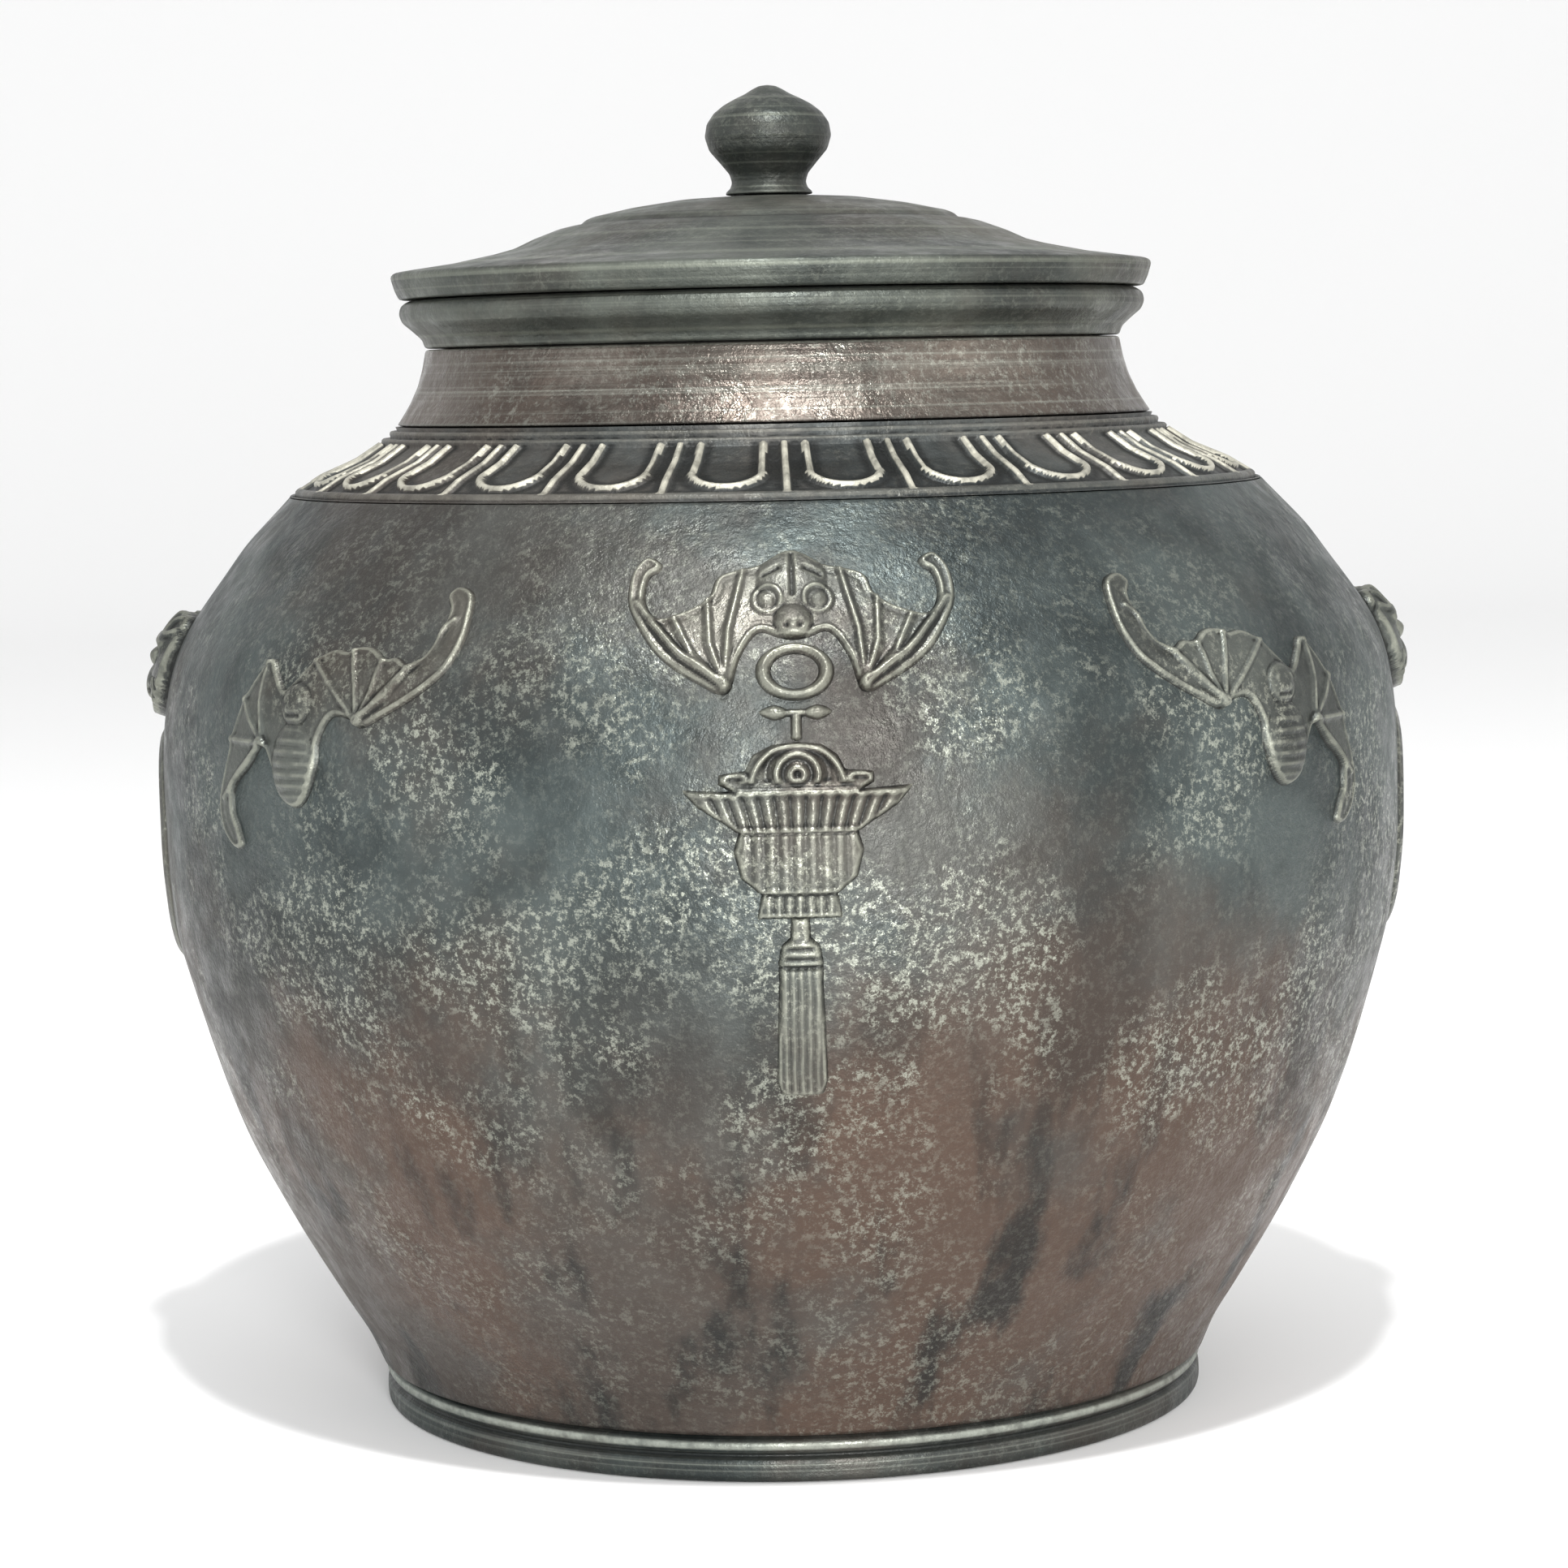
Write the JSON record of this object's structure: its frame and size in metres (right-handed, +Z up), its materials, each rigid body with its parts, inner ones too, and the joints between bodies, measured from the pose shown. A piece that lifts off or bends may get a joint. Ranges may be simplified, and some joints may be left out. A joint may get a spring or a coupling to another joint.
{
  "type": "lidded bronze urn",
  "caption": "Squat round bronze urn with ring foot, lappet collar, short neck, domed lift-off lid with a bud knob, and cast bats, hanging flower baskets, beast masks and rings in relief.",
  "frame": {"origin": "centre of the underside of the foot ring, on the surface it stands on", "axes": "+Z up along the vessel's axis; -Y is the front, with the front bat and basket; +X is the beast mask at the viewer's right"},
  "size_m": [0.308, 0.2998, 0.3115],
  "materials": {
    "bronze_body": "dark reddish-brown patinated cast bronze, granular",
    "bronze_lid": "grey-green patinated bronze with worn edges",
    "bronze_relief": "teal-grey patina with pale worn high spots"
  },
  "bodies": {
    "urn": {"urn_body": "bronze_body", "foot_ring": "bronze_body", "lappet_collar": "bronze_body", "neck": "bronze_body", "mouth_rim": "bronze_body", "bat_front": "bronze_relief", "pendant_ring_front": "bronze_relief", "pendant_bow_front": "bronze_relief", "flower_basket_front": "bronze_relief", "tassel_front": "bronze_relief", "bat_back": "bronze_relief", "pendant_ring_back": "bronze_relief", "pendant_bow_back": "bronze_relief", "flower_basket_back": "bronze_relief", "tassel_back": "bronze_relief", "bat_front_left": "bronze_relief", "bat_front_right": "bronze_relief", "bat_back_left": "bronze_relief", "bat_back_right": "bronze_relief", "beast_mask_left": "bronze_relief", "beast_mask_right": "bronze_relief", "relief_ring_left": "bronze_relief", "relief_ring_right": "bronze_relief"},
    "lid": {"lid_plate": "bronze_lid", "lid_locating_ring": "bronze_lid", "lid_knob": "bronze_lid", "knob_washer": "bronze_lid"}
  },
  "joints": [
    {"name": "lid_lift", "type": "slide", "parent": "urn", "child": "lid", "axis": [0, 0, 1], "range_m": [0, 0.12]}
  ]
}
